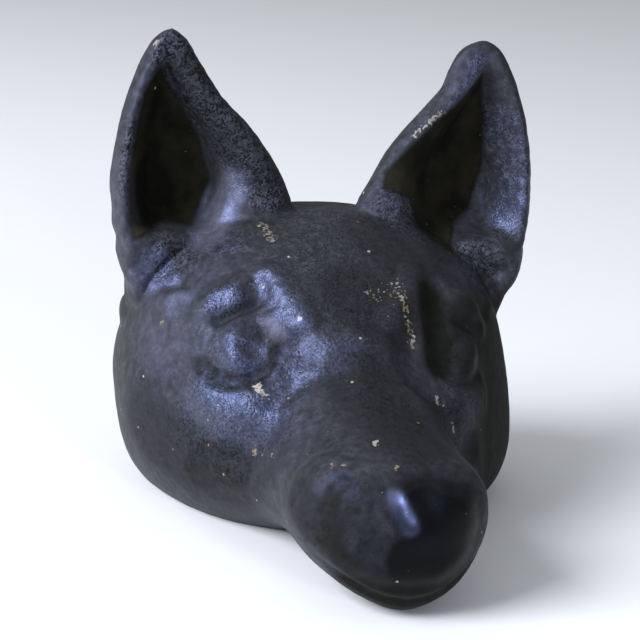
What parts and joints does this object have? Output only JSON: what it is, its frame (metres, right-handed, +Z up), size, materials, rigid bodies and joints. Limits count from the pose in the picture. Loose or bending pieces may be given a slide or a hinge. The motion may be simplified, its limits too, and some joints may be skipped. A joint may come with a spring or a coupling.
{
  "type": "dog head doorstop",
  "caption": "Hollow cast iron doorstop in the form of a prick-eared dog's head, made of a front and a rear shell drawn together by a screw through the nape.",
  "frame": {"origin": "on the floor, in the middle of the head's bounding box", "axes": "+Z up out of the floor, -Y the way the dog looks, +X towards the dog's left"},
  "size_m": [0.1292, 0.1509, 0.1386],
  "materials": {
    "black_painted_iron": "worn black paint over sand-cast iron",
    "black_painted_iron_rear": "worn black paint over sand-cast iron",
    "steel_screw": "darkened steel"
  },
  "bodies": {
    "root": {"front_casting": "black_painted_iron", "rear_casting": "black_painted_iron_rear", "tie_screw": "steel_screw"}
  },
  "joints": []
}
